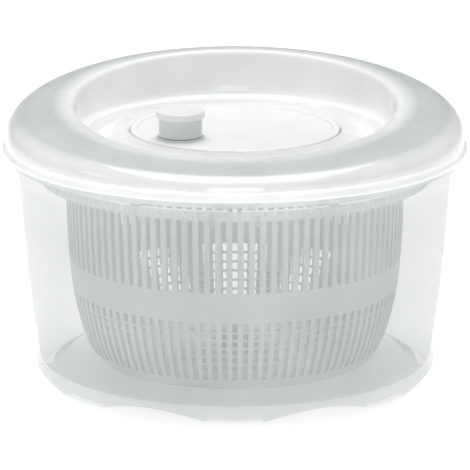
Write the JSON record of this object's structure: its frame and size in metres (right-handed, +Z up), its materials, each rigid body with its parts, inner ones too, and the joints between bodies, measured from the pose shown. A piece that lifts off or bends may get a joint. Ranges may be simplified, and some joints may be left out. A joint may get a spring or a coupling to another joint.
{
  "type": "salad spinner",
  "caption": "Crank-turned salad spinner: a footed translucent bowl, a slotted basket on a centre pin, and a domed lid with a geared crank disc and a free-turning knob.",
  "frame": {"origin": "on the resting plane, under the centre of the bowl", "axes": "+Z up along the spin axis, -Y towards the keeper ribs at the front, +X to the right seen from the front"},
  "size_m": [0.26, 0.26, 0.1664],
  "materials": {
    "frosted_polypropylene": "frosted, semi-gloss outside",
    "clear_lid_plastic": "milky translucent, gloss",
    "basket_polypropylene": "satin, moulded",
    "white_abs": "satin, moulded",
    "grey_abs": "satin, moulded",
    "acetal": "smooth, moulded",
    "stainless_steel": "turned"
  },
  "bodies": {
    "bowl": {"bowl": "frosted_polypropylene", "pivot_pin": "stainless_steel"},
    "basket": {"basket": "basket_polypropylene", "basket_floor": "basket_polypropylene", "basket_bush": "acetal"},
    "lid": {"lid_shell": "clear_lid_plastic", "shaft_bush": "acetal", "planet_pins": "stainless_steel", "gear_cover": "white_abs", "cover_screws": "stainless_steel", "crank_washer": "stainless_steel", "crank_screw": "stainless_steel"},
    "crank": {"crank_disc": "white_abs", "crank_inlay": "white_abs", "ring_gear": "acetal", "knob_spindle": "grey_abs", "knob_screw": "stainless_steel"},
    "knob": {"knob_sleeve": "grey_abs", "knob_cap": "white_abs"},
    "planet_1": {"planet_gear_1": "acetal"},
    "planet_2": {"planet_gear_2": "acetal"},
    "planet_3": {"planet_gear_3": "acetal"},
    "drive": {"sun_gear": "acetal", "output_shaft": "stainless_steel", "shaft_clip": "stainless_steel", "drive_plate": "white_abs", "drive_screw": "stainless_steel"}
  },
  "joints": [
    {"name": "lid_lift", "type": "slide", "parent": "bowl", "child": "lid", "axis": [0, 0, 1], "range_m": [0, 0.12]},
    {"name": "crank_spin", "type": "hinge", "parent": "lid", "child": "crank", "pos_m": [0, 0, 0.1375], "axis": [0, 0, 1], "continuous": true},
    {"name": "knob_spin", "type": "hinge", "parent": "crank", "child": "knob", "pos_m": [-0.03006, -0.02669, 0.145], "axis": [0, 0, 1], "continuous": true},
    {"name": "planet_1_spin", "type": "hinge", "parent": "lid", "child": "planet_1", "pos_m": [0.027, 0, 0.13], "axis": [0, 0, 1], "continuous": true},
    {"name": "planet_2_spin", "type": "hinge", "parent": "lid", "child": "planet_2", "pos_m": [-0.0135, 0.02338, 0.13], "axis": [0, 0, 1], "continuous": true},
    {"name": "planet_3_spin", "type": "hinge", "parent": "lid", "child": "planet_3", "pos_m": [-0.0135, -0.02338, 0.13], "axis": [0, 0, 1], "continuous": true},
    {"name": "drive_spin", "type": "hinge", "parent": "lid", "child": "drive", "pos_m": [0, 0, 0.125], "axis": [0, 0, 1], "continuous": true},
    {"name": "basket_spin", "type": "hinge", "parent": "bowl", "child": "basket", "pos_m": [0, 0, 0.015], "axis": [0, 0, 1], "continuous": true}
  ],
  "couplings": [
    {"joint": "planet_1_spin", "follows": "crank_spin", "ratio": 2.7143},
    {"joint": "planet_2_spin", "follows": "crank_spin", "ratio": 2.7143},
    {"joint": "planet_3_spin", "follows": "crank_spin", "ratio": 2.7143},
    {"joint": "drive_spin", "follows": "crank_spin", "ratio": -3.8},
    {"joint": "basket_spin", "follows": "crank_spin", "ratio": -3.8}
  ]
}
